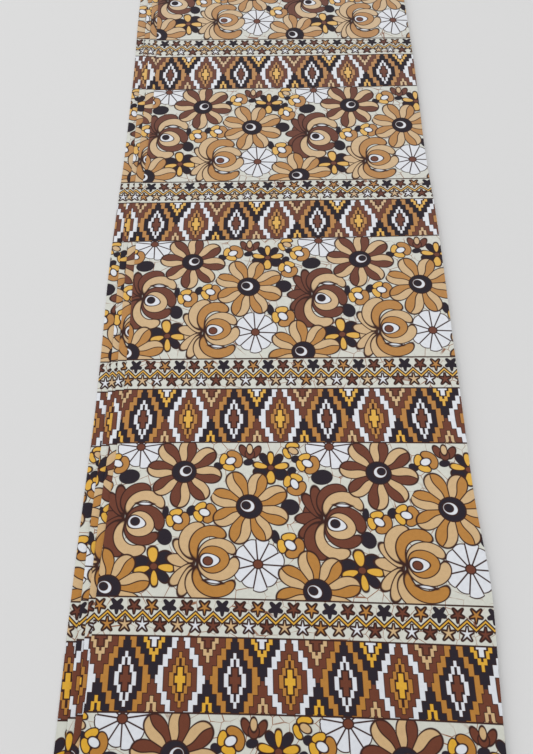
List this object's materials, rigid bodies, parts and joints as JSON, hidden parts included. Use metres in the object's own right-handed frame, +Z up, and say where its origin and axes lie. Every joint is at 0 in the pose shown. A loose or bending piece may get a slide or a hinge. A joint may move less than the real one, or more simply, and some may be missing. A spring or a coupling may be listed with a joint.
{
  "type": "folded ankara fabric",
  "caption": "Length of wax-print cotton cloth, zigzag-folded into a long flat bundle with its folds stepped along one side.",
  "frame": {"origin": "on the resting surface, under the middle of the folded bundle", "axes": "+Z up out of the face that shows, +Y along the cloth's width from the near selvedge to the far one, +X across the bundle towards the side where the top panel ends"},
  "size_m": [0.4296, 1.15, 0.0095],
  "materials": {
    "printed_cotton": "printed plain-weave cotton, matt with a faint starch sheen: brown, ochre, beige, black and white motifs on cream",
    "folded_cotton": "the same printed cotton, on the hidden panels and at the folded edges"
  },
  "bodies": {
    "root": {"top_layer": "printed_cotton", "hidden_layers": "folded_cotton"}
  },
  "joints": []
}
